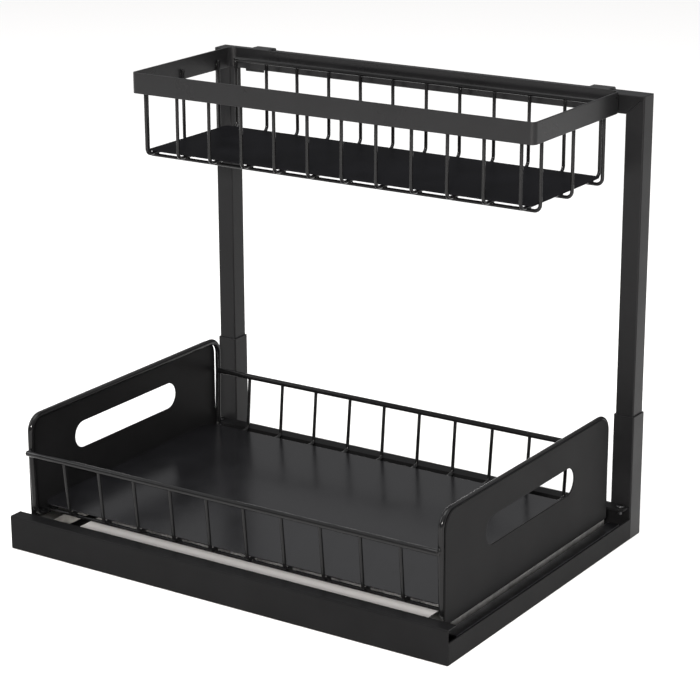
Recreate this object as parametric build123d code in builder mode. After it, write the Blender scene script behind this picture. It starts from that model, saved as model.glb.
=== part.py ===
from build123d import *
import os

os.makedirs("parts", exist_ok=True)

# Two-tier pull-out cabinet basket.
# X runs across the front (right is +), Y runs to the rear, Z is up.
# The origin is the centre of the footprint, on the shelf that it stands on.
# Lengths below named "y_" are counted from the face of the front bar.

# ---------------------------------------------------------------- main sizes
WIDTH = 400.0          # across the front bar and the rails
HALF = WIDTH / 2
POST_REAR = 299.1      # rear face of the socket tubes
SCREW_HEAD_H = 1.6     # post screw heads stand behind that face
DEPTH = POST_REAR + SCREW_HEAD_H
YC = DEPTH / 2         # footprint centre
SHEET = 1.2            # folded sheet of rails, front bar, brackets


def y(v):
    """Depth counted from the front bar, in the part's own frame."""
    return v - YC


# ---------------------------------------------------------------- fixed frame
RAIL_H = 17.4          # outer wall of the side rail
RAIL_FLOOR = 16.0      # width of the rail's floor flange
Y_RAIL0 = 1.5          # rail starts just behind the front bar
Y_SOCKET = 280.9       # front face of the sockets

SOCKET_W = 17.7        # socket tube, across
SOCKET_D = POST_REAR - Y_SOCKET
SOCKET_H = 102.3
SOCKET_T = 1.0

POST_GAP = 0.05        # sliding fit of post in socket, each side
POST_W = SOCKET_W - 2 * SOCKET_T - 2 * POST_GAP
POST_D = SOCKET_D - 2 * SOCKET_T - 2 * POST_GAP
POST_T = 1.2
POST_X = HALF - SOCKET_W / 2
POST_Y = (Y_SOCKET + POST_REAR) / 2
POST_Z0 = 42.0         # lower end of the post inside the socket

BEAM_Z1 = 355.5        # top of the frame
BEAM_H = 15.1
BEAM_Z0 = BEAM_Z1 - BEAM_H

POST_SCREW_Z = 62.0

CROSS_Y0, CROSS_Y1 = 268.7, 280.7
CROSS_Z1 = 28.7
CROSS_H = 8.0
CROSS_LEN = 398.0
CROSS_TAB = 23.0       # flat part at each end
CROSS_BRK_X = 176.4    # inner end of the welded angles
CROSS_HOLE_X = 194.0
CROSS_Y = (CROSS_Y0 + CROSS_Y1) / 2

TIE_W = 30.0
TIE_HOLE_X = 120.0     # mounting holes, 240 x 200 pattern
TIE_Y_FRONT, TIE_Y_REAR = 40.0, 240.0
TIE_HOLE_D = 4.5

# ---------------------------------------------------------------- slides
SL_Z0 = 1.3            # underside of the slide
SL_H = 17.0
SL_FACE = HALF - SHEET # inner face of the rail wall, the slide's back
SL_T = 1.2
SL_Y0, SL_Y1 = 14.0, 264.0
INNER_Y0, INNER_Y1 = 8.0, 258.0
BALL_D = 2.9
BALL_U = 5.5           # ball centre, counted from the slide's back
BALL_W = 14.3          # ball centre height in the slide (upper row)
CAGE_Y0, CAGE_Y1 = 106.0, 166.0
BALL_COUNT = 8
BALL_PITCH = 7.5
TRAVEL = 180.0         # pull-out travel

# ---------------------------------------------------------------- lower basket
BAR_Z0, BAR_Z1 = 0.4, 27.8
BAR_LEDGE = 12.2       # depth of the front bar's top ledge
BRK_X0, BRK_X1 = 172.5, 188.6
BRK_Z = 23.9           # top of the basket bracket

PANEL_X0, PANEL_X1 = 188.6, 189.8
PANEL_Y0, PANEL_Y1 = 13.2, 259.0
PANEL_Z0, PANEL_Z1 = 23.3, 108.7
PANEL_R = 14.0
SLOT_Y, SLOT_Z = 136.5, 74.3
SLOT_L, SLOT_H = 133.4, 22.0

FRAME_D = 4.8          # thick side loops
TOP_D = 4.6            # thick top wires
THIN_D = 2.8           # thin wires
Y_MID = 136.9          # middle of the lower basket
TOP_Y = 8.4            # front top wire
TOP_Z = 80.1
TOP_X = 187.5          # the front one laps the loops' legs
REAR_TOP_X = 183.8     # the rear one fits between the legs
REAR_TOP_Y = 257.9
LOOP_X = PANEL_X0 - FRAME_D / 2
LOOP_Z0 = BRK_Z + FRAME_D / 2
LOOP_Z1 = 107.4
LOOP_Y = TOP_Y + TOP_D / 2 + FRAME_D / 2
LOOP_LEAN = 2.0        # the legs lean inwards at the bottom
CROSS_WIRE_Z = LOOP_Z0 + FRAME_D / 2 + THIN_D / 2
U_Z = CROSS_WIRE_Z + THIN_D
U_Y = TOP_Y + TOP_D / 2 + THIN_D / 2 + 0.05
U_X = [-153.0 + 34.0 * i for i in range(10)]
CROSS_WIRE_Y = [24.0, 79.0, 134.0, 189.0, 244.0]
FLOOR_Z0 = U_Z + THIN_D / 2
FLOOR_T = 1.0
FLOOR_X, FLOOR_Y0, FLOOR_Y1, FLOOR_R = 187.0, 21.7, 246.5, 12.0

# ---------------------------------------------------------------- upper basket
BAND_X = 180.8
BAND_Y0, BAND_Y1 = 145.4, 280.2
BAND_Z0, BAND_Z1 = 341.8, 358.5
BAND_T = 1.5
BAND_R = 4.5           # front corners
BAND_R_REAR = 8.0
UP_U_Y0 = BAND_Y0 + BAND_T + THIN_D / 2
UP_U_Y1 = 270.4
UP_U_Z = 293.0
UP_TOP_D = 3.8
UP_TOP_Z = 350.1
UP_TOP_X = 170.5
UP_U_X = [-168.9 + 337.8 / 11 * i for i in range(12)]
UP_LEG_Z = 350.5
UP_C_X = BAND_X - BAND_T - THIN_D / 2
UP_C_Z = UP_U_Z - THIN_D
UP_C_Y = [161.4, 209.7, 258.0]
UP_PLATE_Z0 = UP_U_Z + THIN_D / 2
UP_PLATE_X, UP_PLATE_Y0, UP_PLATE_Y1 = 174.5, 155.5, 262.5
HOOK_X0, HOOK_X1 = 148.0, 166.0
HOOK_T = 1.5
HOOK_Z_FRONT, HOOK_Z_REAR = 339.0, 338.0


# ================================================================ fixed frame
# side rails: floor flange and low outer wall, folded from one strip
with BuildPart() as side_rail_right:
    with BuildSketch(Plane.XZ.offset(-y(Y_SOCKET))):
        with BuildLine():
            Polyline(
                (HALF - RAIL_FLOOR, 0), (HALF, 0), (HALF, RAIL_H),
                (HALF - SHEET, RAIL_H), (HALF - SHEET, SHEET),
                (HALF - RAIL_FLOOR, SHEET), close=True,
            )
        make_face()
        corner = vertices().sort_by_distance((HALF, 0, 0))
    extrude(amount=Y_SOCKET - Y_RAIL0)
    fillet(edges().filter_by(Axis.Y).sort_by_distance((HALF, 0, 0))[0], radius=0.6)
    fillet(edges().filter_by(Axis.Y).group_by(Axis.Z)[-1], radius=0.4)
side_rail_right.part.label = "side_rail_right"

with BuildPart() as side_rail_left:
    mirror(side_rail_right.part, about=Plane.YZ)
side_rail_left.part.label = "side_rail_left"

# socket tubes: closed at the bottom, open at the top
with BuildPart() as lower_post_right:
    with BuildSketch(Plane.XY):
        with Locations((POST_X, y(POST_Y))):
            RectangleRounded(SOCKET_W, SOCKET_D, 1.2)
    extrude(amount=SOCKET_H)
    with BuildSketch(Plane.XY.offset(SOCKET_T)):
        with Locations((POST_X, y(POST_Y))):
            Rectangle(SOCKET_W - 2 * SOCKET_T, SOCKET_D - 2 * SOCKET_T)
    extrude(amount=SOCKET_H, mode=Mode.SUBTRACT)
    # screw hole in the rear wall
    with BuildSketch(Plane.XZ.offset(-y(POST_REAR))):
        with Locations((POST_X, POST_SCREW_Z)):
            Circle(2.1)
    extrude(amount=SOCKET_T + 0.5, mode=Mode.SUBTRACT)
    fillet(edges().group_by(Axis.Z)[-1], radius=0.3)
lower_post_right.part.label = "lower_post_right"

with BuildPart() as lower_post_left:
    mirror(lower_post_right.part, about=Plane.YZ)
lower_post_left.part.label = "lower_post_left"

# the mitre between post and beam runs from the inner lower corner
# to the outer upper corner
MITRE_IN = POST_X - POST_W / 2
MITRE_OUT = POST_X + POST_W / 2
MITRE_GAP = 0.02

with BuildPart() as upper_post_right:
    with BuildSketch(Plane.XY.offset(POST_Z0)):
        with Locations((POST_X, y(POST_Y))):
            RectangleRounded(POST_W, POST_D, 1.1)
            RectangleRounded(POST_W - 2 * POST_T, POST_D - 2 * POST_T, 0.6, mode=Mode.SUBTRACT)
    extrude(amount=BEAM_Z1 - POST_Z0)
    # cut the top along the mitre
    with BuildSketch(Plane.XZ.offset(-y(POST_REAR + 5))):
        with BuildLine():
            Polyline(
                (MITRE_IN - 1.0 * POST_W / BEAM_H, BEAM_Z0 - 1.0 - MITRE_GAP),
                (MITRE_OUT + 1.0 * POST_W / BEAM_H, BEAM_Z1 + 1.0 - MITRE_GAP),
                (MITRE_IN - 5, BEAM_Z1 + 5), close=True,
            )
        make_face()
    extrude(amount=SOCKET_D + 10, mode=Mode.SUBTRACT)
    # threaded hole for the post screw
    with BuildSketch(Plane.XZ.offset(-y(POST_REAR))):
        with Locations((POST_X, POST_SCREW_Z)):
            Circle(2.0)
    extrude(amount=SOCKET_T + POST_T + 1.0, mode=Mode.SUBTRACT)
upper_post_right.part.label = "upper_post_right"

with BuildPart() as upper_post_left:
    mirror(upper_post_right.part, about=Plane.YZ)
upper_post_left.part.label = "upper_post_left"

with BuildPart() as top_beam:
    with BuildSketch(Plane.YZ.offset(-MITRE_OUT)):
        with Locations((y(POST_Y), BEAM_Z0 + BEAM_H / 2)):
            RectangleRounded(POST_D, BEAM_H, 1.1)
            RectangleRounded(POST_D - 2 * POST_T, BEAM_H - 2 * POST_T, 0.6, mode=Mode.SUBTRACT)
    extrude(amount=2 * MITRE_OUT)
    with BuildSketch(Plane.XZ.offset(-y(POST_REAR + 5))):
        with BuildLine():
            Polyline(
                (MITRE_IN - 1.0 * POST_W / BEAM_H, BEAM_Z0 - 1.0),
                (MITRE_OUT + 1.0 * POST_W / BEAM_H, BEAM_Z1 + 1.0),
                (MITRE_OUT + 10, BEAM_Z0 - 1.0), close=True,
            )
        make_face()
        mirror(about=Plane.YZ)
    extrude(amount=SOCKET_D + 10, mode=Mode.SUBTRACT)
top_beam.part.label = "top_beam"

# button-head screws from behind, one in each socket
with BuildPart() as post_screws:
    with BuildSketch(Plane.XZ.offset(-y(DEPTH))):
        with Locations((-POST_X, POST_SCREW_Z), (POST_X, POST_SCREW_Z)):
            Circle(4.0)
    extrude(amount=SCREW_HEAD_H)
    fillet(edges().filter_by(GeomType.CIRCLE).group_by(Axis.Y)[-1], radius=1.1)
    with BuildSketch(Plane.XZ.offset(-y(POST_REAR))):
        with Locations((-POST_X, POST_SCREW_Z), (POST_X, POST_SCREW_Z)):
            Circle(1.95)
    extrude(amount=6.5)
    with BuildSketch(Plane.XZ.offset(-y(DEPTH))):
        with Locations((-POST_X, POST_SCREW_Z), (POST_X, POST_SCREW_Z)):
            RegularPolygon(1.45, 6)
    extrude(amount=1.1, mode=Mode.SUBTRACT)
post_screws.part.label = "post_screws"

# rear crossbar: an inverted channel whose ends are flat rounded tabs
with BuildPart() as rear_crossbar:
    with BuildSketch(Plane.XY.offset(CROSS_Z1 - SHEET)):
        with Locations((0, y(CROSS_Y))):
            SlotOverall(CROSS_LEN, CROSS_Y1 - CROSS_Y0)
        with Locations((-CROSS_HOLE_X, y(CROSS_Y)), (CROSS_HOLE_X, y(CROSS_Y))):
            Circle(1.9, mode=Mode.SUBTRACT)
    extrude(amount=SHEET)
    with BuildSketch(Plane.XY.offset(CROSS_Z1 - CROSS_H)):
        with Locations((0, y(CROSS_Y0 + SHEET / 2)), (0, y(CROSS_Y1 - SHEET / 2))):
            Rectangle(2 * (CROSS_LEN / 2 - CROSS_TAB), SHEET)
    extrude(amount=CROSS_H - SHEET / 2)
    fillet(
        edges().filter_by(Axis.X).group_by(Axis.Z)[-1],
        radius=0.7,
    )
rear_crossbar.part.label = "rear_crossbar"

# small angles welded to the socket fronts, under the crossbar tabs
with BuildPart() as crossbar_bracket_right:
    with BuildSketch(Plane.YZ.offset(CROSS_BRK_X)):
        with BuildLine():
            Polyline(
                (y(Y_SOCKET), 3.0), (y(Y_SOCKET), CROSS_Z1 - SHEET),
                (y(CROSS_Y0 + 0.6), CROSS_Z1 - SHEET),
                (y(CROSS_Y0 + 0.6), CROSS_Z1 - 2 * SHEET),
                (y(Y_SOCKET - SHEET), CROSS_Z1 - 2 * SHEET),
                (y(Y_SOCKET - SHEET), 3.0), close=True,
            )
        make_face()
    extrude(amount=198.4 - CROSS_BRK_X)
    fillet(edges().filter_by(Axis.Z).group_by(Axis.Y)[0], radius=3.0)
    fillet(edges().filter_by(Axis.Y).group_by(Axis.Z)[0], radius=3.0)
    with BuildSketch(Plane.XY.offset(CROSS_Z1 - SHEET)):
        with Locations((CROSS_HOLE_X, y(CROSS_Y))):
            Circle(1.65)
    extrude(amount=-2 * SHEET, mode=Mode.SUBTRACT)
crossbar_bracket_right.part.label = "crossbar_bracket_right"

with BuildPart() as crossbar_bracket_left:
    mirror(crossbar_bracket_right.part, about=Plane.YZ)
crossbar_bracket_left.part.label = "crossbar_bracket_left"

with BuildPart() as crossbar_screws:
    with BuildSketch(Plane.XY.offset(CROSS_Z1)):
        with Locations((-CROSS_HOLE_X, y(CROSS_Y)), (CROSS_HOLE_X, y(CROSS_Y))):
            Circle(3.2)
    extrude(amount=1.5)
    fillet(edges().filter_by(GeomType.CIRCLE).group_by(Axis.Z)[-1], radius=1.0)
    with BuildSketch(Plane.XY.offset(CROSS_Z1)):
        with Locations((-CROSS_HOLE_X, y(CROSS_Y)), (CROSS_HOLE_X, y(CROSS_Y))):
            Circle(1.6)
    extrude(amount=-6.0)
    with BuildSketch(Plane.XY.offset(CROSS_Z1 + 1.5)):
        with Locations((-CROSS_HOLE_X, y(CROSS_Y)), (CROSS_HOLE_X, y(CROSS_Y))):
            Rectangle(3.2, 0.6)
            Rectangle(0.6, 3.2)
    extrude(amount=-1.0, mode=Mode.SUBTRACT)
crossbar_screws.part.label = "crossbar_screws"

# floor ties: flat strips butt-welded between the rail flanges
with BuildPart() as base_tie_front:
    with BuildSketch(Plane.XY):
        with Locations((0, y(TIE_Y_FRONT))):
            Rectangle(2 * (HALF - RAIL_FLOOR), TIE_W)
        with Locations((-TIE_HOLE_X, y(TIE_Y_FRONT)), (TIE_HOLE_X, y(TIE_Y_FRONT))):
            Circle(TIE_HOLE_D / 2, mode=Mode.SUBTRACT)
    extrude(amount=SHEET)
base_tie_front.part.label = "base_tie_front"

with BuildPart() as base_tie_rear:
    with BuildSketch(Plane.XY):
        with Locations((0, y(TIE_Y_REAR))):
            Rectangle(2 * (HALF - RAIL_FLOOR), TIE_W)
        with Locations((-TIE_HOLE_X, y(TIE_Y_REAR)), (TIE_HOLE_X, y(TIE_Y_REAR))):
            Circle(TIE_HOLE_D / 2, mode=Mode.SUBTRACT)
    extrude(amount=SHEET)
base_tie_rear.part.label = "base_tie_rear"

# ================================================================ slides
# outer member: a C open towards the basket, its lips keep the balls in;
# a small lanced tab near the front stops the ball cage
with BuildPart() as slide_outer_right:
    with BuildSketch(Plane.XZ.offset(-y(SL_Y1))):
        with BuildLine():
            Polyline(
                (SL_FACE, SL_Z0), (SL_FACE, SL_Z0 + SL_H),
                (SL_FACE - 10.0, SL_Z0 + SL_H), (SL_FACE - 10.0, SL_Z0 + 13.3),
                (SL_FACE - 9.0, SL_Z0 + 13.3), (SL_FACE - 9.0, SL_Z0 + SL_H - SL_T),
                (SL_FACE - SL_T, SL_Z0 + SL_H - SL_T), (SL_FACE - SL_T, SL_Z0 + SL_T),
                (SL_FACE - 9.0, SL_Z0 + SL_T), (SL_FACE - 9.0, SL_Z0 + 3.7),
                (SL_FACE - 10.0, SL_Z0 + 3.7), (SL_FACE - 10.0, SL_Z0), close=True,
            )
        make_face()
    extrude(amount=SL_Y1 - SL_Y0)
    fillet(
        edges().filter_by(Axis.Y).group_by(Axis.X)[0].group_by(Axis.Z)[0]
        + edges().filter_by(Axis.Y).group_by(Axis.X)[0].group_by(Axis.Z)[-1],
        radius=0.8,
    )
    with BuildSketch(Plane.XZ.offset(-y(SL_Y0 + SL_T))):
        with Locations((SL_FACE - 2.0, SL_Z0 + SL_H / 2)):
            Rectangle(1.6, 5.0)
    extrude(amount=SL_T)
slide_outer_right.part.label = "slide_outer_right"

with BuildPart() as slide_outer_left:
    mirror(slide_outer_right.part, about=Plane.YZ)
slide_outer_left.part.label = "slide_outer_left"

# inner member: a smaller C whose flanges ride on the balls
with BuildPart() as slide_inner_right:
    with BuildSketch(Plane.XZ.offset(-y(INNER_Y1))):
        with BuildLine():
            Polyline(
                (SL_FACE - 10.2, SL_Z0 + 4.2), (SL_FACE - 10.2, SL_Z0 + 12.8),
                (SL_FACE - 3.0, SL_Z0 + 12.8), (SL_FACE - 3.0, SL_Z0 + 11.6),
                (SL_FACE - 9.0, SL_Z0 + 11.6), (SL_FACE - 9.0, SL_Z0 + 5.4),
                (SL_FACE - 3.0, SL_Z0 + 5.4), (SL_FACE - 3.0, SL_Z0 + 4.2), close=True,
            )
        make_face()
    extrude(amount=INNER_Y1 - INNER_Y0)
    # stop ears at the rear end
    with BuildSketch(Plane.XZ.offset(-y(INNER_Y1))):
        with Locations(
            (SL_FACE - 2.4, SL_Z0 + 4.8), (SL_FACE - 2.4, SL_Z0 + 12.2)
        ):
            Rectangle(1.4, 1.2)
    extrude(amount=1.5)
    # holes for the bracket screws
    with BuildSketch(Plane.YZ.offset(SL_FACE - 10.2)):
        with Locations((y(40), SL_Z0 + 8.5), (y(130), SL_Z0 + 8.5), (y(225), SL_Z0 + 8.5)):
            Circle(1.75)
    extrude(amount=SL_T, mode=Mode.SUBTRACT)
slide_inner_right.part.label = "slide_inner_right"

with BuildPart() as slide_inner_left:
    mirror(slide_inner_right.part, about=Plane.YZ)
slide_inner_left.part.label = "slide_inner_left"

BALL_YS = [
    (CAGE_Y0 + CAGE_Y1) / 2 + (i - (BALL_COUNT - 1) / 2) * BALL_PITCH
    for i in range(BALL_COUNT)
]

# ball cage: thin C with a row of holes in each flange
with BuildPart() as ball_cage_right:
    with BuildSketch(Plane.XZ.offset(-y(CAGE_Y1))):
        with BuildLine():
            Polyline(
                (SL_FACE - 2.0, SL_Z0 + 2.4), (SL_FACE - 2.0, SL_Z0 + 14.6),
                (SL_FACE - 8.6, SL_Z0 + 14.6), (SL_FACE - 8.6, SL_Z0 + 14.0),
                (SL_FACE - 2.6, SL_Z0 + 14.0), (SL_FACE - 2.6, SL_Z0 + 3.0),
                (SL_FACE - 8.6, SL_Z0 + 3.0), (SL_FACE - 8.6, SL_Z0 + 2.4), close=True,
            )
        make_face()
    extrude(amount=CAGE_Y1 - CAGE_Y0)
    with BuildSketch(Plane.XY.offset(SL_Z0 + 2.0)):
        with Locations(*[(SL_FACE - BALL_U, y(v)) for v in BALL_YS]):
            Circle(BALL_D / 2 + 0.1)
    extrude(amount=13.0, mode=Mode.SUBTRACT)
ball_cage_right.part.label = "ball_cage_right"

with BuildPart() as ball_cage_left:
    mirror(ball_cage_right.part, about=Plane.YZ)
ball_cage_left.part.label = "ball_cage_left"

with BuildPart() as slide_balls_right:
    with Locations(
        *[(SL_FACE - BALL_U, y(v), SL_Z0 + BALL_W) for v in BALL_YS],
        *[(SL_FACE - BALL_U, y(v), SL_Z0 + SL_H - BALL_W) for v in BALL_YS],
    ):
        Sphere(BALL_D / 2)
slide_balls_right.part.label = "slide_balls_right"

with BuildPart() as slide_balls_left:
    mirror(slide_balls_right.part, about=Plane.YZ)
slide_balls_left.part.label = "slide_balls_left"

# rubber stop at the rear end of each slide
with BuildPart() as slide_bumper_right:
    with BuildSketch(Plane.XZ.offset(-y(SL_Y1))):
        with Locations((SL_FACE - (SL_T + 8.0) / 2, SL_Z0 + SL_H / 2)):
            RectangleRounded(8.0 - SL_T, 7.0, 1.0)
    extrude(amount=SL_Y1 - INNER_Y1 - 0.3)
slide_bumper_right.part.label = "slide_bumper_right"

with BuildPart() as slide_bumper_left:
    mirror(slide_bumper_right.part, about=Plane.YZ)
slide_bumper_left.part.label = "slide_bumper_left"

# ================================================================ lower basket
# bracket: long angle that carries the basket on the inner slide member,
# with a tab folded across its front end for the front bar
with BuildPart() as basket_bracket_right:
    with BuildSketch(Plane.XZ.offset(-y(INNER_Y1))):
        with BuildLine():
            Polyline(
                (BRK_X1, 4.5), (BRK_X1, BRK_Z), (BRK_X0, BRK_Z), (BRK_X0, BRK_Z - SHEET),
                (BRK_X1 - SHEET, BRK_Z - SHEET), (BRK_X1 - SHEET, 4.5), close=True,
            )
        make_face()
    extrude(amount=INNER_Y1 - SHEET)
    with BuildSketch(Plane.XZ.offset(-y(2 * SHEET))):
        with Locations(((BRK_X0 + BRK_X1) / 2, (8.0 + BRK_Z) / 2)):
            Rectangle(BRK_X1 - BRK_X0, BRK_Z - 8.0)
    extrude(amount=SHEET)
    with BuildSketch(Plane.YZ.offset(BRK_X1 - SHEET)):
        with Locations((y(40), SL_Z0 + 8.5), (y(130), SL_Z0 + 8.5), (y(225), SL_Z0 + 8.5)):
            Circle(1.9)
    extrude(amount=SHEET, mode=Mode.SUBTRACT)
basket_bracket_right.part.label = "basket_bracket_right"

with BuildPart() as basket_bracket_left:
    mirror(basket_bracket_right.part, about=Plane.YZ)
basket_bracket_left.part.label = "basket_bracket_left"

# pan-head screws from the bracket into the inner member, three a side
with BuildPart() as one_side_screws:
    with BuildSketch(Plane.YZ.offset(BRK_X1 - SHEET - 1.8)):
        with Locations((y(40), SL_Z0 + 8.5), (y(130), SL_Z0 + 8.5), (y(225), SL_Z0 + 8.5)):
            Circle(3.0)
    extrude(amount=1.8)
    fillet(edges().filter_by(GeomType.CIRCLE).group_by(Axis.X)[0], radius=1.0)
    with BuildSketch(Plane.YZ.offset(BRK_X1 - SHEET)):
        with Locations((y(40), SL_Z0 + 8.5), (y(130), SL_Z0 + 8.5), (y(225), SL_Z0 + 8.5)):
            Circle(1.7)
    extrude(amount=4.0)
    with BuildSketch(Plane.YZ.offset(BRK_X1 - SHEET - 1.8)):
        with Locations((y(40), SL_Z0 + 8.5), (y(130), SL_Z0 + 8.5), (y(225), SL_Z0 + 8.5)):
            Rectangle(3.0, 0.6)
            Rectangle(0.6, 3.0)
    extrude(amount=1.0, mode=Mode.SUBTRACT)

with BuildPart() as bracket_screws:
    add(one_side_screws.part)
    mirror(one_side_screws.part, about=Plane.YZ)
bracket_screws.part.label = "bracket_screws"

# front bar: web and top ledge folded from one strip, ends open
with BuildPart() as front_bar:
    with BuildSketch(Plane.YZ.offset(-HALF)):
        with BuildLine():
            Polyline(
                (y(0), BAR_Z0), (y(0), BAR_Z1), (y(BAR_LEDGE), BAR_Z1),
                (y(BAR_LEDGE), BAR_Z1 - SHEET), (y(SHEET), BAR_Z1 - SHEET),
                (y(SHEET), BAR_Z0), close=True,
            )
        make_face()
    extrude(amount=WIDTH)
    fillet(edges().filter_by(Axis.X).sort_by_distance((0, y(0), BAR_Z1))[0], radius=1.3)
    fillet(edges().filter_by(Axis.X).sort_by_distance((0, y(SHEET), BAR_Z1 - SHEET))[0], radius=0.4)
    chamfer(edges().filter_by(Axis.Z).group_by(Axis.Y)[-1], length=1.0)
front_bar.part.label = "front_bar"

# side panels with the oblong hand slot
with BuildPart() as side_panel_right:
    with BuildSketch(Plane.YZ.offset(PANEL_X0)) as panel_face:
        with BuildLine():
            Polyline(
                (y(PANEL_Y0), PANEL_Z0), (y(PANEL_Y1), PANEL_Z0),
                (y(PANEL_Y1), PANEL_Z1), (y(PANEL_Y0), PANEL_Z1), close=True,
            )
        make_face()
        fillet(vertices().group_by(Axis.Y)[-1], radius=PANEL_R)
        fillet(vertices().group_by(Axis.Y)[0], radius=1.5)
        with Locations((y(SLOT_Y), SLOT_Z)):
            SlotOverall(SLOT_L, SLOT_H, mode=Mode.SUBTRACT)
    extrude(amount=PANEL_X1 - PANEL_X0)
    fillet(faces().sort_by(Axis.X)[-1].edges(), radius=0.45)
    fillet(faces().sort_by(Axis.X)[0].edges(), radius=0.45)
side_panel_right.part.label = "side_panel_right"

with BuildPart() as side_panel_left:
    mirror(side_panel_right.part, about=Plane.YZ)
side_panel_left.part.label = "side_panel_left"

# thick closed wire loop inside each panel
LOOP_REAR = 2 * Y_MID - LOOP_Y
with BuildPart() as side_frame_wire_right:
    with BuildLine(Plane.YZ.offset(LOOP_X)) as loop_path:
        FilletPolyline(
            (y(Y_MID), LOOP_Z0),
            (y(LOOP_REAR - LOOP_LEAN), LOOP_Z0),
            (y(LOOP_REAR), TOP_Z - 4.0),
            (y(LOOP_REAR), LOOP_Z1),
            (y(LOOP_Y), LOOP_Z1),
            (y(LOOP_Y), TOP_Z - 4.0),
            (y(LOOP_Y + LOOP_LEAN), LOOP_Z0),
            (y(Y_MID), LOOP_Z0),
            radius=[0.0, 9.0, 60.0, 12.0, 12.0, 60.0, 9.0],
        )
    with BuildSketch(Plane(origin=loop_path.line @ 0, z_dir=loop_path.line % 0)):
        Circle(FRAME_D / 2)
    sweep(path=loop_path.line)
side_frame_wire_right.part.label = "side_frame_wire_right"

with BuildPart() as side_frame_wire_left:
    mirror(side_frame_wire_right.part, about=Plane.YZ)
side_frame_wire_left.part.label = "side_frame_wire_left"

# straight top wires: the front one lapped in front of the loops' legs,
# the rear one between them
with BuildPart() as front_top_wire:
    with BuildSketch(Plane.YZ.offset(-TOP_X)):
        with Locations((y(TOP_Y), TOP_Z)):
            Circle(TOP_D / 2)
    extrude(amount=2 * TOP_X)
    fillet(edges().filter_by(GeomType.CIRCLE), radius=0.9)
front_top_wire.part.label = "front_top_wire"

with BuildPart() as rear_top_wire:
    with BuildSketch(Plane.YZ.offset(-REAR_TOP_X)):
        with Locations((y(REAR_TOP_Y), TOP_Z)):
            Circle(TOP_D / 2)
    extrude(amount=2 * REAR_TOP_X)
    fillet(edges().filter_by(GeomType.CIRCLE), radius=0.3)
rear_top_wire.part.label = "rear_top_wire"

# thin wires bent up at front and rear
U_LEAN = 4.8
with BuildPart() as one_lower_u:
    with BuildLine(Plane.YZ) as u_path:
        FilletPolyline(
            (y(U_Y), TOP_Z + 0.4),
            (y(U_Y + U_LEAN), U_Z),
            (y(2 * Y_MID - U_Y - U_LEAN), U_Z),
            (y(2 * Y_MID - U_Y), TOP_Z + 0.4),
            radius=4.5,
        )
    with BuildSketch(Plane(origin=u_path.line @ 0, z_dir=u_path.line % 0)):
        Circle(THIN_D / 2)
    sweep(path=u_path.line)

with BuildPart() as lower_u_wires:
    with Locations(*[(x, 0, 0) for x in U_X]):
        add(one_lower_u.part)
lower_u_wires.part.label = "lower_u_wires"

# straight wires across, under the bent wires and on the loops
with BuildPart() as floor_cross_wires:
    with BuildSketch(Plane.YZ.offset(-(PANEL_X0 - 0.3))):
        with Locations(*[(y(v), CROSS_WIRE_Z) for v in CROSS_WIRE_Y]):
            Circle(THIN_D / 2)
    extrude(amount=2 * (PANEL_X0 - 0.3))
floor_cross_wires.part.label = "floor_cross_wires"

with BuildPart() as basket_floor_plate:
    with BuildSketch(Plane.XY.offset(FLOOR_Z0)):
        with Locations((0, y((FLOOR_Y0 + FLOOR_Y1) / 2))):
            RectangleRounded(2 * FLOOR_X, FLOOR_Y1 - FLOOR_Y0, FLOOR_R)
    extrude(amount=FLOOR_T)
    fillet(edges().group_by(Axis.Z)[-1], radius=0.3)
basket_floor_plate.part.label = "basket_floor_plate"

# ================================================================ upper basket
# flat band bent to a closed ring, standing on edge
with BuildPart() as rim_band:
    with BuildSketch(Plane.XY.offset(BAND_Z0)):
        with Locations((0, y((BAND_Y0 + BAND_Y1) / 2))):
            Rectangle(2 * BAND_X, BAND_Y1 - BAND_Y0)
        fillet(vertices().group_by(Axis.Y)[0], radius=BAND_R)
        fillet(vertices().group_by(Axis.Y)[-1], radius=BAND_R_REAR)
        offset(amount=-BAND_T, mode=Mode.SUBTRACT)
    extrude(amount=BAND_Z1 - BAND_Z0)
    fillet(edges().group_by(Axis.Z)[-1] + edges().group_by(Axis.Z)[0], radius=0.4)
rim_band.part.label = "rim_band"

with BuildPart() as upper_rear_top_wire:
    with BuildSketch(Plane.YZ.offset(-UP_TOP_X)):
        with Locations((y(UP_U_Y1), UP_TOP_Z)):
            Circle(UP_TOP_D / 2)
    extrude(amount=2 * UP_TOP_X)
    fillet(edges().filter_by(GeomType.CIRCLE), radius=1.2)
upper_rear_top_wire.part.label = "upper_rear_top_wire"

with BuildPart() as one_upper_u:
    with BuildLine(Plane.YZ) as up_path:
        FilletPolyline(
            (y(UP_U_Y0), UP_LEG_Z),
            (y(UP_U_Y0), UP_U_Z),
            (y(UP_U_Y1), UP_U_Z),
            (y(UP_U_Y1), UP_TOP_Z - UP_TOP_D / 2),
            radius=5.0,
        )
    with BuildSketch(Plane(origin=up_path.line @ 0, z_dir=up_path.line % 0)):
        Circle(THIN_D / 2)
    sweep(path=up_path.line)

with BuildPart() as upper_u_wires:
    with Locations(*[(x, 0, 0) for x in UP_U_X]):
        add(one_upper_u.part)
upper_u_wires.part.label = "upper_u_wires"

with BuildPart() as one_upper_cross:
    with BuildLine(Plane.XZ) as cross_path:
        FilletPolyline(
            (-UP_C_X, UP_LEG_Z), (-UP_C_X, UP_C_Z), (UP_C_X, UP_C_Z), (UP_C_X, UP_LEG_Z),
            radius=5.0,
        )
    with BuildSketch(Plane(origin=cross_path.line @ 0, z_dir=cross_path.line % 0)):
        Circle(THIN_D / 2)
    sweep(path=cross_path.line)

with BuildPart() as upper_cross_wires:
    with Locations(*[(0, y(v), 0) for v in UP_C_Y]):
        add(one_upper_cross.part)
upper_cross_wires.part.label = "upper_cross_wires"

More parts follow.
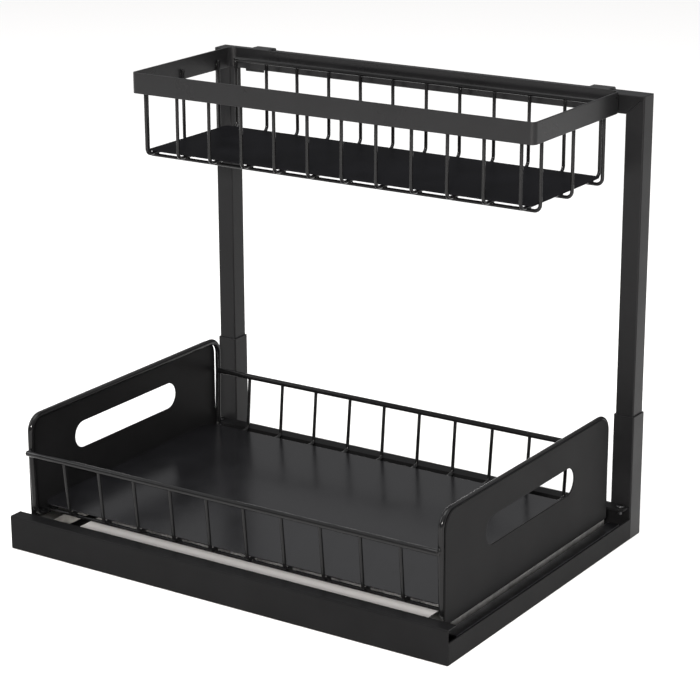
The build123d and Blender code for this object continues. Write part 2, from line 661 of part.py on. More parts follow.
with BuildPart() as upper_bottom_plate:
    with BuildSketch(Plane.XY.offset(UP_PLATE_Z0)):
        with Locations((0, y((UP_PLATE_Y0 + UP_PLATE_Y1) / 2))):
            RectangleRounded(2 * UP_PLATE_X, UP_PLATE_Y1 - UP_PLATE_Y0, 4.0)
    extrude(amount=1.0)
    fillet(edges().group_by(Axis.Z)[-1], radius=0.3)
upper_bottom_plate.part.label = "upper_bottom_plate"

# hooks: strip folded over the top beam, front leg welded to the band
HOOK_Y0 = BAND_Y1
HOOK_Y1 = POST_REAR - SOCKET_T - POST_GAP + 0.15 + HOOK_T
HOOK_Z1 = BEAM_Z1 + 0.05 + HOOK_T
with BuildPart() as hook_right:
    with BuildSketch(Plane.YZ.offset(HOOK_X0)):
        with BuildLine():
            Polyline(
                (y(HOOK_Y0), HOOK_Z_FRONT), (y(HOOK_Y0), HOOK_Z1),
                (y(HOOK_Y1), HOOK_Z1), (y(HOOK_Y1), HOOK_Z_REAR),
                (y(HOOK_Y1 - HOOK_T), HOOK_Z_REAR), (y(HOOK_Y1 - HOOK_T), HOOK_Z1 - HOOK_T),
                (y(HOOK_Y0 + HOOK_T), HOOK_Z1 - HOOK_T), (y(HOOK_Y0 + HOOK_T), HOOK_Z_FRONT),
                close=True,
            )
        make_face()
    extrude(amount=HOOK_X1 - HOOK_X0)
    fillet(edges().filter_by(Axis.X).group_by(Axis.Z)[-1], radius=1.9)
    fillet(edges().filter_by(Axis.X).sort_by_distance((HOOK_X0, y(HOOK_Y0 + HOOK_T), HOOK_Z1 - HOOK_T))[0], radius=0.5)
    fillet(edges().filter_by(Axis.X).sort_by_distance((HOOK_X0, y(HOOK_Y1 - HOOK_T), HOOK_Z1 - HOOK_T))[0], radius=0.5)
    fillet(edges().filter_by(Axis.Y).group_by(Axis.Z)[0], radius=2.5)
hook_right.part.label = "hook_right"

with BuildPart() as hook_left:
    mirror(hook_right.part, about=Plane.YZ)
hook_left.part.label = "hook_left"

# ================================================================ export
export_step(side_rail_left.part, "parts/side_rail_left.step")
export_step(side_rail_right.part, "parts/side_rail_right.step")
export_step(lower_post_left.part, "parts/lower_post_left.step")
export_step(lower_post_right.part, "parts/lower_post_right.step")
export_step(upper_post_left.part, "parts/upper_post_left.step")
export_step(upper_post_right.part, "parts/upper_post_right.step")
export_step(top_beam.part, "parts/top_beam.step")
export_step(post_screws.part, "parts/post_screws.step")
export_step(rear_crossbar.part, "parts/rear_crossbar.step")
export_step(crossbar_bracket_left.part, "parts/crossbar_bracket_left.step")
export_step(crossbar_bracket_right.part, "parts/crossbar_bracket_right.step")
export_step(crossbar_screws.part, "parts/crossbar_screws.step")
export_step(base_tie_front.part, "parts/base_tie_front.step")
export_step(base_tie_rear.part, "parts/base_tie_rear.step")
export_step(slide_outer_left.part, "parts/slide_outer_left.step")
export_step(slide_outer_right.part, "parts/slide_outer_right.step")
export_step(slide_bumper_left.part, "parts/slide_bumper_left.step")
export_step(slide_bumper_right.part, "parts/slide_bumper_right.step")
export_step(ball_cage_left.part, "parts/ball_cage_left.step")
export_step(ball_cage_right.part, "parts/ball_cage_right.step")
export_step(slide_balls_left.part, "parts/slide_balls_left.step")
export_step(slide_balls_right.part, "parts/slide_balls_right.step")
export_step(slide_inner_left.part, "parts/slide_inner_left.step")
export_step(slide_inner_right.part, "parts/slide_inner_right.step")
export_step(basket_bracket_left.part, "parts/basket_bracket_left.step")
export_step(basket_bracket_right.part, "parts/basket_bracket_right.step")
export_step(bracket_screws.part, "parts/bracket_screws.step")
export_step(front_bar.part, "parts/front_bar.step")
export_step(side_panel_left.part, "parts/side_panel_left.step")
export_step(side_panel_right.part, "parts/side_panel_right.step")
export_step(side_frame_wire_left.part, "parts/side_frame_wire_left.step")
export_step(side_frame_wire_right.part, "parts/side_frame_wire_right.step")
export_step(front_top_wire.part, "parts/front_top_wire.step")
export_step(rear_top_wire.part, "parts/rear_top_wire.step")
export_step(lower_u_wires.part, "parts/lower_u_wires.step")
export_step(floor_cross_wires.part, "parts/floor_cross_wires.step")
export_step(basket_floor_plate.part, "parts/basket_floor_plate.step")
export_step(rim_band.part, "parts/rim_band.step")
export_step(upper_rear_top_wire.part, "parts/upper_rear_top_wire.step")
export_step(upper_u_wires.part, "parts/upper_u_wires.step")
export_step(upper_cross_wires.part, "parts/upper_cross_wires.step")
export_step(upper_bottom_plate.part, "parts/upper_bottom_plate.step")
export_step(hook_left.part, "parts/hook_left.step")
export_step(hook_right.part, "parts/hook_right.step")
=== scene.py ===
import math
import random

import bmesh
import bpy
from mathutils import Matrix, Vector, noise


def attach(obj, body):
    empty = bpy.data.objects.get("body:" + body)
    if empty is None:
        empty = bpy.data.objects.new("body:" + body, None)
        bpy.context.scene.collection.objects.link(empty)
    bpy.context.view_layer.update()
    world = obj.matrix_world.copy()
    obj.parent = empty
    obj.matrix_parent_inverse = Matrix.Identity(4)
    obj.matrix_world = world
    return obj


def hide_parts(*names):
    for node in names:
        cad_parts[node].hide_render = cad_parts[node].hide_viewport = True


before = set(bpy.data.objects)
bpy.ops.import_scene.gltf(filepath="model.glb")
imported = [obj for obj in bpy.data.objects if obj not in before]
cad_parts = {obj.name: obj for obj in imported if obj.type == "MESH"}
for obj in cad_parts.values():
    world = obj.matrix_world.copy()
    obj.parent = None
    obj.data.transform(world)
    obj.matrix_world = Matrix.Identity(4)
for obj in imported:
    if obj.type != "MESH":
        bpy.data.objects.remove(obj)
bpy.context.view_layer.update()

# Sizes are in millimetres. x runs across, y is counted from the face of the
# front bar towards the rear, z is the height above the floor.
YC = 150.35
MM = 0.001


def P(x, y, z):
    return Vector((x * MM, (y - YC) * MM, z * MM))


# ------------------------------------------------------------------ materials
def _node(nt, kind, **values):
    n = nt.nodes.new(kind)
    for k, v in values.items():
        setattr(n, k, v)
    return n


def powder(name, dark, light, rough, rough_var, spec, peel=0.5, peel_scale=900.0, grain=0.35,
           coat=0.0, coat_rough=0.2, speck=0.0):
    """Baked powder coat: fine orange peel, slight mottling in tone and gloss, dust-fine specks."""
    m = bpy.data.materials.new(name)
    m.use_nodes = True
    nt = m.node_tree
    b = nt.nodes["Principled BSDF"]
    b.inputs["Metallic"].default_value = 0.0
    b.inputs["Specular IOR Level"].default_value = spec
    b.inputs["IOR"].default_value = 1.5
    b.inputs["Coat Weight"].default_value = coat
    b.inputs["Coat Roughness"].default_value = coat_rough
    tc = _node(nt, "ShaderNodeTexCoord")

    mottle = _node(nt, "ShaderNodeTexNoise")
    mottle.inputs["Scale"].default_value = 26.0
    mottle.inputs["Detail"].default_value = 5.0
    mottle.inputs["Roughness"].default_value = 0.6
    nt.links.new(tc.outputs["Object"], mottle.inputs["Vector"])
    fine = _node(nt, "ShaderNodeTexNoise")
    fine.inputs["Scale"].default_value = 2600.0
    fine.inputs["Detail"].default_value = 2.0
    nt.links.new(tc.outputs["Object"], fine.inputs["Vector"])

    mixv = _node(nt, "ShaderNodeMath", operation="MULTIPLY_ADD")
    mixv.inputs[1].default_value = 0.3
    nt.links.new(fine.outputs["Fac"], mixv.inputs[0])
    nt.links.new(mottle.outputs["Fac"], mixv.inputs[2])
    ramp = _node(nt, "ShaderNodeValToRGB")
    ramp.color_ramp.elements[0].position = 0.45
    ramp.color_ramp.elements[0].color = (*dark, 1)
    ramp.color_ramp.elements[1].position = 0.85
    ramp.color_ramp.elements[1].color = (*light, 1)
    nt.links.new(mixv.outputs[0], ramp.inputs["Fac"])
    nt.links.new(ramp.outputs["Color"], b.inputs["Base Color"])

    rmap = _node(nt, "ShaderNodeMapRange")
    rmap.inputs["From Min"].default_value = 0.35
    rmap.inputs["From Max"].default_value = 0.7
    rmap.inputs["To Min"].default_value = rough - rough_var
    rmap.inputs["To Max"].default_value = rough + rough_var
    nt.links.new(mottle.outputs["Fac"], rmap.inputs["Value"])
    nt.links.new(rmap.outputs["Result"], b.inputs["Roughness"])

    peel_n = _node(nt, "ShaderNodeTexNoise")
    peel_n.inputs["Scale"].default_value = peel_scale
    peel_n.inputs["Detail"].default_value = 2.5
    peel_n.inputs["Roughness"].default_value = 0.55
    nt.links.new(tc.outputs["Object"], peel_n.inputs["Vector"])
    bump = _node(nt, "ShaderNodeBump")
    bump.inputs["Strength"].default_value = peel
    bump.inputs["Distance"].default_value = 0.00006
    nt.links.new(peel_n.outputs["Fac"], bump.inputs["Height"])
    bump2 = _node(nt, "ShaderNodeBump")
    bump2.inputs["Strength"].default_value = grain
    bump2.inputs["Distance"].default_value = 0.00002
    nt.links.new(fine.outputs["Fac"], bump2.inputs["Height"])
    nt.links.new(bump.outputs["Normal"], bump2.inputs["Normal"])
    nt.links.new(bump2.outputs["Normal"], b.inputs["Normal"])
    return m


def plated(name, dark, light, rough, grain_axis=1, metallic=1.0):
    """Plated sheet: cloudy spangle, fine rolling lines along one axis."""
    m = bpy.data.materials.new(name)
    m.use_nodes = True
    nt = m.node_tree
    b = nt.nodes["Principled BSDF"]
    b.inputs["Metallic"].default_value = metallic
    tc = _node(nt, "ShaderNodeTexCoord")
    cloud = _node(nt, "ShaderNodeTexVoronoi")
    cloud.inputs["Scale"].default_value = 160.0
    cloud.inputs["Randomness"].default_value = 1.0
    nt.links.new(tc.outputs["Object"], cloud.inputs["Vector"])
    noise_n = _node(nt, "ShaderNodeTexNoise")
    noise_n.inputs["Scale"].default_value = 60.0
    noise_n.inputs["Detail"].default_value = 6.0
    nt.links.new(tc.outputs["Object"], noise_n.inputs["Vector"])
    add = _node(nt, "ShaderNodeMath", operation="MULTIPLY_ADD")
    add.inputs[1].default_value = 0.35
    nt.links.new(cloud.outputs["Distance"], add.inputs[0])
    nt.links.new(noise_n.outputs["Fac"], add.inputs[2])
    ramp = _node(nt, "ShaderNodeValToRGB")
    ramp.color_ramp.elements[0].position = 0.35
    ramp.color_ramp.elements[0].color = (*dark, 1)
    ramp.color_ramp.elements[1].position = 0.85
    ramp.color_ramp.elements[1].color = (*light, 1)
    nt.links.new(add.outputs[0], ramp.inputs["Fac"])
    nt.links.new(ramp.outputs["Color"], b.inputs["Base Color"])
    stretch = _node(nt, "ShaderNodeMapping")
    scale = [1500.0, 1500.0, 1500.0]
    scale[grain_axis] = 25.0
    stretch.inputs["Scale"].default_value = scale
    nt.links.new(tc.outputs["Object"], stretch.inputs["Vector"])
    lines = _node(nt, "ShaderNodeTexNoise")
    lines.inputs["Scale"].default_value = 1.0
    lines.inputs["Detail"].default_value = 3.0
    nt.links.new(stretch.outputs["Vector"], lines.inputs["Vector"])
    rmap = _node(nt, "ShaderNodeMapRange")
    rmap.inputs["To Min"].default_value = max(0.05, rough - 0.1)
    rmap.inputs["To Max"].default_value = rough + 0.12
    nt.links.new(lines.outputs["Fac"], rmap.inputs["Value"])
    nt.links.new(rmap.outputs["Result"], b.inputs["Roughness"])
    bump = _node(nt, "ShaderNodeBump")
    bump.inputs["Strength"].default_value = 0.25
    bump.inputs["Distance"].default_value = 0.00002
    nt.links.new(lines.outputs["Fac"], bump.inputs["Height"])
    nt.links.new(bump.outputs["Normal"], b.inputs["Normal"])
    return m


def rubber(name):
    m = bpy.data.materials.new(name)
    m.use_nodes = True
    nt = m.node_tree
    b = nt.nodes["Principled BSDF"]
    b.inputs["Specular IOR Level"].default_value = 0.3
    tc = _node(nt, "ShaderNodeTexCoord")
    n = _node(nt, "ShaderNodeTexNoise")
    n.inputs["Scale"].default_value = 700.0
    n.inputs["Detail"].default_value = 4.0
    nt.links.new(tc.outputs["Object"], n.inputs["Vector"])
    ramp = _node(nt, "ShaderNodeValToRGB")
    ramp.color_ramp.elements[0].color = (0.008, 0.008, 0.008, 1)
    ramp.color_ramp.elements[1].color = (0.03, 0.03, 0.03, 1)
    nt.links.new(n.outputs["Fac"], ramp.inputs["Fac"])
    nt.links.new(ramp.outputs["Color"], b.inputs["Base Color"])
    rmap = _node(nt, "ShaderNodeMapRange")
    rmap.inputs["To Min"].default_value = 0.65
    rmap.inputs["To Max"].default_value = 0.9
    nt.links.new(n.outputs["Fac"], rmap.inputs["Value"])
    nt.links.new(rmap.outputs["Result"], b.inputs["Roughness"])
    bump = _node(nt, "ShaderNodeBump")
    bump.inputs["Strength"].default_value = 0.4
    bump.inputs["Distance"].default_value = 0.00005
    nt.links.new(n.outputs["Fac"], bump.inputs["Height"])
    nt.links.new(bump.outputs["Normal"], b.inputs["Normal"])
    return m


M_SHEET = powder("powder_sheet", (0.006, 0.006, 0.0062), (0.0075, 0.0075, 0.0078), 0.40, 0.05, 0.03)
M_BAR = powder("powder_front_bar", (0.006, 0.006, 0.0062), (0.0075, 0.0075, 0.0078), 0.36, 0.05, 0.04)
M_BAND = powder("powder_band", (0.007, 0.007, 0.0073), (0.009, 0.009, 0.0095), 0.30, 0.04, 0.22)
M_TUBE = powder("powder_tube", (0.007, 0.007, 0.0073), (0.009, 0.009, 0.0095), 0.36, 0.05, 0.12)
M_WIRE = powder("powder_wire", (0.004, 0.004, 0.0042), (0.006, 0.006, 0.0062), 0.15, 0.03, 0.18, peel=0.2, peel_scale=1400.0)
M_PLATE = powder("powder_plate", (0.006, 0.006, 0.0066), (0.0085, 0.0085, 0.0095), 0.22, 0.03, 0.20, peel=0.3, peel_scale=700.0)
# Painted shade: the same powder coat as the lower plate, given a darker base colour and almost no specular so it looks
# like it reflects the dark beam and band above it.
M_UPPER_PLATE_PAINTED_SHADE = powder("powder_upper_plate_painted_shade", (0.005, 0.005, 0.0055), (0.0075, 0.0075, 0.0085), 0.42, 0.03, 0.004, peel=0.3, peel_scale=700.0)
M_SCREW = plated("black_oxide_screw", (0.02, 0.02, 0.021), (0.06, 0.06, 0.062), 0.35)
M_ZINC = plated("zinc_plate", (0.42, 0.42, 0.40), (0.72, 0.71, 0.68), 0.32)
M_SLIDE = plated("black_zinc_slide", (0.018, 0.018, 0.02), (0.05, 0.05, 0.055), 0.34)
M_CAGE = plated("cage_steel", (0.25, 0.24, 0.22), (0.5, 0.48, 0.44), 0.35)
M_BALL = plated("ball_steel", (0.6, 0.6, 0.61), (0.8, 0.8, 0.81), 0.12)
M_RUBBER = rubber("bumper_rubber")


# ------------------------------------------------------------------ mesh tools
def finish_mesh(name, bm, material, weighted=True, recalc=True):
    if recalc:
        bmesh.ops.recalc_face_normals(bm, faces=bm.faces[:])
    me = bpy.data.meshes.new(name)
    bm.to_mesh(me)
    bm.free()
    me.materials.append(material)
    for p in me.polygons:
        p.use_smooth = True
    ob = bpy.data.objects.new(name, me)
    bpy.context.scene.collection.objects.link(ob)
    if weighted:
        mod = ob.modifiers.new("weighted", "WEIGHTED_NORMAL")
        mod.mode = "FACE_AREA"
        mod.weight = 90
        mod.keep_sharp = True
        dg = bpy.context.evaluated_depsgraph_get()
        new = bpy.data.meshes.new_from_object(ob.evaluated_get(dg), preserve_all_data_layers=True, depsgraph=dg)
        ob.modifiers.clear()
        old = ob.data
        ob.data = new
        bpy.data.meshes.remove(old)
        ob.data.name = name
    return ob


def rounded2(points, radii, seg=8):
    """Closed 2-D outline with each corner rounded to its own radius."""
    pts = [Vector((a, b)) for a, b in points]
    n = len(pts)
    if isinstance(radii, (int, float)):
        radii = [radii] * n
    out = []
    for i in range(n):
        p0, p1, p2 = pts[i - 1], pts[i], pts[(i + 1) % n]
        r = radii[i]
        a = (p0 - p1).normalized()
        b = (p2 - p1).normalized()
        ang = math.acos(max(-1, min(1, a.dot(b))))
        if r <= 1e-6 or abs(ang - math.pi) < 1e-4:
            out.append(p1)
            continue
        t = r / math.tan(ang / 2)
        centre = p1 + (a + b).normalized() * (r / math.sin(ang / 2))
        s = p1 + a * t
        e = p1 + b * t
        v0 = s - centre
        v1 = e - centre
        turn = math.atan2(v0.x * v1.y - v0.y * v1.x, v0.dot(v1))
        k = max(2, int(math.ceil(seg * abs(turn) / (math.pi / 2))))
        for j in range(k + 1):
            th = turn * j / k
            c, sn = math.cos(th), math.sin(th)
            out.append(centre + Vector((v0.x * c - v0.y * sn, v0.x * sn + v0.y * c)))
    return out


def signed_area(pts):
    s = 0.0
    for i in range(len(pts)):
        a, b = pts[i - 1], pts[i]
        s += a.x * b.y - b.x * a.y
    return s / 2


def offset_loop(pts, d):
    n = len(pts)
    out = []
    for i in range(n):
        p0, p1, p2 = pts[i - 1], pts[i], pts[(i + 1) % n]
        e1 = (p1 - p0).normalized()
        e2 = (p2 - p1).normalized()
        n1 = Vector((-e1.y, e1.x))
        n2 = Vector((-e2.y, e2.x))
        out.append(p1 + (n1 + n2) * (d / max(0.25, 1 + n1.dot(n2))))
    return out


def place(plane):
    if plane == "YZ":
        return lambda u, v, w: P(w, u, v)
    if plane == "XZ":
        return lambda u, v, w: P(u, w, v)
    return lambda u, v, w: P(u, v, w)


def prism_into(bm, outline, holes, plane, a, b, edge=0.4, seg=3):
    """Extruded outline with all its long edges rolled over to a small radius."""
    to3 = place(plane)
    loops = [outline if signed_area(outline) > 0 else outline[::-1]]
    for h in holes:
        loops.append(h if signed_area(h) < 0 else h[::-1])
    edge = min(edge, abs(b - a) * 0.499)
    layers = []
    for k in range(seg + 1):
        t = math.pi / 2 * k / seg
        layers.append((edge * (1 - math.sin(t)), a + edge * (1 - math.cos(t))))
    for k in range(seg, -1, -1):
        t = math.pi / 2 * k / seg
        layers.append((edge * (1 - math.sin(t)), b - edge * (1 - math.cos(t))))
    caps = [[], []]
    for loop in loops:
        rings = []
        for inset, w in layers:
            rings.append([bm.verts.new(to3(p.x, p.y, w)) for p in offset_loop(loop, inset)])
        n = len(loop)
        for r0, r1 in zip(rings, rings[1:]):
            for i in range(n):
                j = (i + 1) % n
                bm.faces.new((r0[i], r0[j], r1[j], r1[i]))
        caps[0].append(rings[0])
        caps[1].append(rings[-1])
    for side in caps:
        if len(side) == 1:
            bm.faces.new(side[0])
        else:
            edges = []
            for ring in side:
                for i in range(len(ring)):
                    edges.append(bm.edges.get((ring[i - 1], ring[i])))
            bmesh.ops.triangle_fill(bm, use_beauty=True, use_dissolve=False, edges=edges)


def prism(name, outline, holes, plane, a, b, material, edge=0.4, seg=3):
    bm = bmesh.new()
    prism_into(bm, outline, holes, plane, a, b, edge, seg)
    return finish_mesh(name, bm, material)


def rect2(u0, u1, v0, v1):
    return [(u0, v0), (u1, v0), (u1, v1), (u0, v1)]


def rounded3(points, radii, seg=8):
    """Open 3-D path: straight runs joined by tangent arcs."""
    pts = [Vector(p) for p in points]
    if isinstance(radii, (int, float)):
        radii = [radii] * (len(pts) - 2)
    out = [pts[0]]
    for i in range(1, len(pts) - 1):
        p0, p1, p2 = pts[i - 1], pts[i], pts[i + 1]
        r = radii[i - 1]
        a = (p0 - p1).normalized()
        b = (p2 - p1).normalized()
        ang = math.acos(max(-1, min(1, a.dot(b))))
        t = r / math.tan(ang / 2)
        centre = p1 + (a + b).normalized() * (r / math.sin(ang / 2))
        v0 = p1 + a * t - centre
        v1 = p1 + b * t - centre
        total = v0.angle(v1)
        axis = v0.cross(v1).normalized()
        k = max(2, int(math.ceil(seg * total / (math.pi / 2))))
        for j in range(k + 1):
            out.append(centre + Matrix.Rotation(total * j / k, 3, axis) @ v0)
    out.append(pts[-1])
    return out


def densify(path, step):
    out = [path[0]]
    for a, b in zip(path, path[1:]):
        n = max(1, int((b - a).length / step))
        for j in range(1, n + 1):
            out.append(a.lerp(b, j / n))
    return out


def tube_into(bm, path, dia, sides=14, ends="round", closed=False, wobble=0.0, seed=0.0):
    """Round wire along a path in millimetres. ends: round, flat (rolled edge) or dome."""
    r = dia / 2
    pts = [Vector(p) for p in path]
    if closed:
        pts = pts[:-1] if (pts[0] - pts[-1]).length < 1e-6 else pts
    n = len(pts)
    tang = []
    for i in range(n):
        if closed:
            t = (pts[(i + 1) % n] - pts[i]).normalized() + (pts[i] - pts[i - 1]).normalized()
        elif i == 0:
            t = pts[1] - pts[0]
        elif i == n - 1:
            t = pts[-1] - pts[-2]
        else:
            t = (pts[i + 1] - pts[i]).normalized() + (pts[i] - pts[i - 1]).normalized()
        tang.append(t.normalized())
    up = Vector((0, 0, 1)) if abs(tang[0].z) < 0.9 else Vector((0, 1, 0))
    nrm = (up - tang[0] * up.dot(tang[0])).normalized()
    frames = []
    for i in range(n):
        if i:
            q = tang[i - 1].rotation_difference(tang[i])
            nrm = q @ nrm
            nrm = (nrm - tang[i] * nrm.dot(tang[i])).normalized()
        frames.append((nrm.copy(), tang[i].cross(nrm)))
    twist = 0.0
    if closed:
        q = tang[-1].rotation_difference(tang[0])
        last = q @ frames[-1][0]
        twist = math.atan2(last.dot(frames[0][1]), last.dot(frames[0][0]))

    def ring(c, f, radius, spin=0.0):
        return [
            bm.verts.new(P(*(c + (f[0] * math.cos(a) + f[1] * math.sin(a)) * radius)))
            for a in (2 * math.pi * k / sides + spin for k in range(sides))
        ]

    rings = []
    if not closed:
        cap = 5 if ends in ("round", "dome") else 3
        h = r if ends == "round" else (0.6 * r if ends == "dome" else 0.22 * r)
        for j in range(1, cap):
            t = math.pi / 2 * j / cap
            inner = r * math.sin(t) if ends in ("round", "dome") else r - 0.22 * r * (1 - math.sin(t))
            rings.append(ring(pts[0] + tang[0] * (h * (1 - math.cos(t))), frames[0], inner))
        first_pole = pts[0] if ends in ("round", "dome") else None
    body0 = pts[0] + tang[0] * (h if not closed else 0)
    for i in range(n):
        c = pts[i]
        if not closed and i == 0:
            c = body0
        if not closed and i == n - 1:
            c = pts[-1] - tang[-1] * h
        rr = r
        if wobble:
            rr = r * (1 + wobble * noise.noise(Vector((c.x * 0.11 + seed, c.y * 0.11, c.z * 0.11))))
        rings.append(ring(c, frames[i], rr, -twist * i / n if closed else 0.0))
    if not closed:
        for j in range(cap - 1, 0, -1):
            t = math.pi / 2 * j / cap
            inner = r * math.sin(t) if ends in ("round", "dome") else r - 0.22 * r * (1 - math.sin(t))
            rings.append(ring(pts[-1] - tang[-1] * (h * (1 - math.cos(t))), frames[-1], inner))
    for r0, r1 in zip(rings, rings[1:]):
        for k in range(sides):
            j = (k + 1) % sides
            bm.faces.new((r0[k], r0[j], r1[j], r1[k]))
    if closed:
        r0, r1 = rings[-1], rings[0]
        for k in range(sides):
            j = (k + 1) % sides
            bm.faces.new((r0[k], r0[j], r1[j], r1[k]))
    elif first_pole is not None:
        for rr, tip in ((rings[0], pts[0]), (rings[-1], pts[-1])):
            v = bm.verts.new(P(*tip))
            for k in range(sides):
                bm.faces.new((rr[k], rr[(k + 1) % sides], v))
    else:
        bm.faces.new(rings[0])
        bm.faces.new(rings[-1])


def nugget_into(bm, c, size, seed):
    """Small uneven weld nugget, seen as the fillet where two wires fuse."""
    c = Vector(c)
    rows, cols = 7, 12
    grid = []
    for i in range(1, rows):
        th = math.pi * i / rows
        row = []
        for j in range(cols):
            ph = 2 * math.pi * j / cols
            d = Vector((math.sin(th) * math.cos(ph), math.sin(th) * math.sin(ph), math.cos(th)))
            k = 1 + 0.14 * noise.noise(d * 1.7 + Vector((seed * 3.1, seed * 1.7, seed)))
            row.append(bm.verts.new(P(c.x + d.x * size[0] * k, c.y + d.y * size[1] * k, c.z + d.z * size[2] * k)))
        grid.append(row)
    top = bm.verts.new(P(c.x, c.y, c.z + size[2]))
    bot = bm.verts.new(P(c.x, c.y, c.z - size[2]))
    for j in range(cols):
        k = (j + 1) % cols
        bm.faces.new((top, grid[0][j], grid[0][k]))
        bm.faces.new((bot, grid[-1][k], grid[-1][j]))
        for r0, r1 in zip(grid, grid[1:]):
            bm.faces.new((r0[j], r1[j], r1[k], r0[k]))


# ------------------------------------------------------------------ fixed frame
def side_rail(s, name):
    out = rounded2(
        [(184, 0), (200, 0), (200, 17.4), (198.8, 17.4), (198.8, 1.2), (184, 1.2)],
        [0.3, 0.65, 0.45, 0.45, 0.4, 0.3], 6,
    )
    out = [Vector((p.x * s, p.y)) for p in out]
    ob = prism(name, out, [], "XZ", 1.5, 280.9, M_SHEET, 0.35)
    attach(ob, "fixed_frame")
    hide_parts(name.replace("_skin", ""))


side_rail(1, "side_rail_right_skin")
side_rail(-1, "side_rail_left_skin")

PX, PY = 191.15, 290.0


def socket(s, name):
    out = rounded2(rect2(PX - 8.85, PX + 8.85, PY - 9.1, PY + 9.1), 1.2, 7)
    inn = rounded2(rect2(PX - 7.85, PX + 7.85, PY - 8.1, PY + 8.1), 0.9, 5)
    bm = bmesh.new()
    prism_into(bm, [Vector((p.x * s, p.y)) for p in out], [[Vector((p.x * s, p.y)) for p in inn]], "XY", 0, 102.3, 0.38)
    ob = finish_mesh(name, bm, M_TUBE)
    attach(ob, "fixed_frame")
    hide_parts(name.replace("_skin", ""))


socket(1, "lower_post_right_skin")
socket(-1, "lower_post_left_skin")

IN_X, OUT_X = PX - 7.8, PX + 7.8
Z0B, Z1B = 340.4, 355.5


def cut_and_roll(bm, point, normal, roll=0.35):
    """Cut by a plane, close the cut and roll its edge."""
    geom = bm.verts[:] + bm.edges[:] + bm.faces[:]
    res = bmesh.ops.bisect_plane(bm, geom=geom, plane_co=point, plane_no=normal, clear_outer=True, dist=1e-7)
    edges = [e for e in res["geom_cut"] if isinstance(e, bmesh.types.BMEdge)]
    bmesh.ops.holes_fill(bm, edges=edges)
    edges = [e for e in edges if e.is_valid]
    bmesh.ops.bevel(bm, geom=edges, offset=roll * MM, offset_type="OFFSET", segments=2, profile=0.5,
                    affect="EDGES", clamp_overlap=True)


def post(s, name):
    out = rounded2(rect2(IN_X, OUT_X, PY - 8.05, PY + 8.05), 1.15, 7)
    bm = bmesh.new()
    prism_into(bm, [Vector((p.x * s, p.y)) for p in out], [], "XY", 42.0, 362.0, 0.3)
    slope = Vector(((OUT_X - IN_X) * s, 0, Z1B - Z0B)).normalized()
    normal = Vector((-slope.z * s, 0, slope.x * s)).normalized()
    if normal.z < 0:
        normal = -normal
    cut_and_roll(bm, P(IN_X * s, PY, Z0B) - normal * 0.00003, normal)
    ob = finish_mesh(name, bm, M_TUBE)
    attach(ob, "fixed_frame")
    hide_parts(name.replace("_skin", ""))


post(1, "upper_post_right_skin")
post(-1, "upper_post_left_skin")

bm = bmesh.new()
prism_into(bm, rounded2(rect2(PY - 8.05, PY + 8.05, Z0B, Z1B), 1.15, 7), [], "YZ", -205, 205, 0.3)
for s in (1, -1):
    slope = Vector(((OUT_X - IN_X) * s, 0, Z1B - Z0B)).normalized()
    normal = Vector((slope.z * s, 0, -slope.x * s)).normalized()
    if normal.z > 0:
        normal = -normal
    cut_and_roll(bm, P(IN_X * s, PY, Z0B) - normal * 0.00003, normal)
beam = finish_mesh("top_beam_skin", bm, M_TUBE)
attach(beam, "fixed_frame"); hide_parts("top_beam")

# rear crossbar: channel with flat rounded end tabs
bm = bmesh.new()
tab = rounded2(rect2(-199, 199, 268.7, 280.7), 5.95, 10)


def ring_pts(cx, cy, r, n=28):
    return [Vector((cx + r * math.cos(2 * math.pi * i / n), cy + r * math.sin(2 * math.pi * i / n))) for i in range(n)]


prism_into(bm, tab, [ring_pts(-194, 274.7, 1.9), ring_pts(194, 274.7, 1.9)], "XY", 27.5, 28.7, 0.35)
prism_into(bm, rounded2(rect2(-176, 176, 268.7, 269.9), 0.3, 3), [], "XY", 20.7, 28.0, 0.3)
prism_into(bm, rounded2(rect2(-176, 176, 279.5, 280.7), 0.3, 3), [], "XY", 20.7, 28.0, 0.3)
ob = finish_mesh("rear_crossbar_skin", bm, M_SHEET)
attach(ob, "fixed_frame"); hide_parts("rear_crossbar")

# ------------------------------------------------------------------ lower basket
# front bar
out = rounded2(
    [(0, 0.4), (1.2, 0.4), (1.2, 26.6), (12.2, 26.6), (12.2, 27.8), (0, 27.8)],
    [0.5, 0.5, 0.4, 0.5, 0.5, 1.5], 7,
)
bm = bmesh.new()
prism_into(bm, out, [], "YZ", -200, 200, 0.4)
for s in (1, -1):
    # the ledge's rear corners are nipped off
    normal = Vector((s, 1, 0)).normalized()
    geom = [f for f in bm.faces] + [e for e in bm.edges] + [v for v in bm.verts]
    res = bmesh.ops.bisect_plane(bm, geom=geom, plane_co=P(199 * s, 12.2, 27), plane_no=normal, clear_outer=True, dist=1e-7)
    edges = [e for e in res["geom_cut"] if isinstance(e, bmesh.types.BMEdge)]
    bmesh.ops.holes_fill(bm, edges=edges)
ob = finish_mesh("front_bar_skin", bm, M_BAR)
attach(ob, "lower_basket"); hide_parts("front_bar")


def slot_loop(cu, cv, length, height, n=18):
    r = height / 2
    pts = []
    for i in range(n + 1):
        a = -math.pi / 2 + math.pi * i / n
        pts.append(Vector((cu + length / 2 - r + r * math.cos(a), cv + r * math.sin(a))))
    for i in range(n + 1):
        a = math.pi / 2 + math.pi * i / n
        pts.append(Vector((cu - length / 2 + r + r * math.cos(a), cv + r * math.sin(a))))
    return pts


def panel(s, name):
    out = rounded2(rect2(13.2, 259.0, 23.3, 108.7), [1.5, 1.5, 14.0, 14.0], 14)
    bm = bmesh.new()
    lo, hi = sorted((188.6 * s, 189.8 * s))
    prism_into(bm, out, [slot_loop(136.5, 74.3, 133.4, 22.0)], "YZ", lo, hi, 0.5, 4)
    ob = finish_mesh(name, bm, M_SHEET)
    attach(ob, "lower_basket")
    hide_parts(name.replace("_skin", ""))


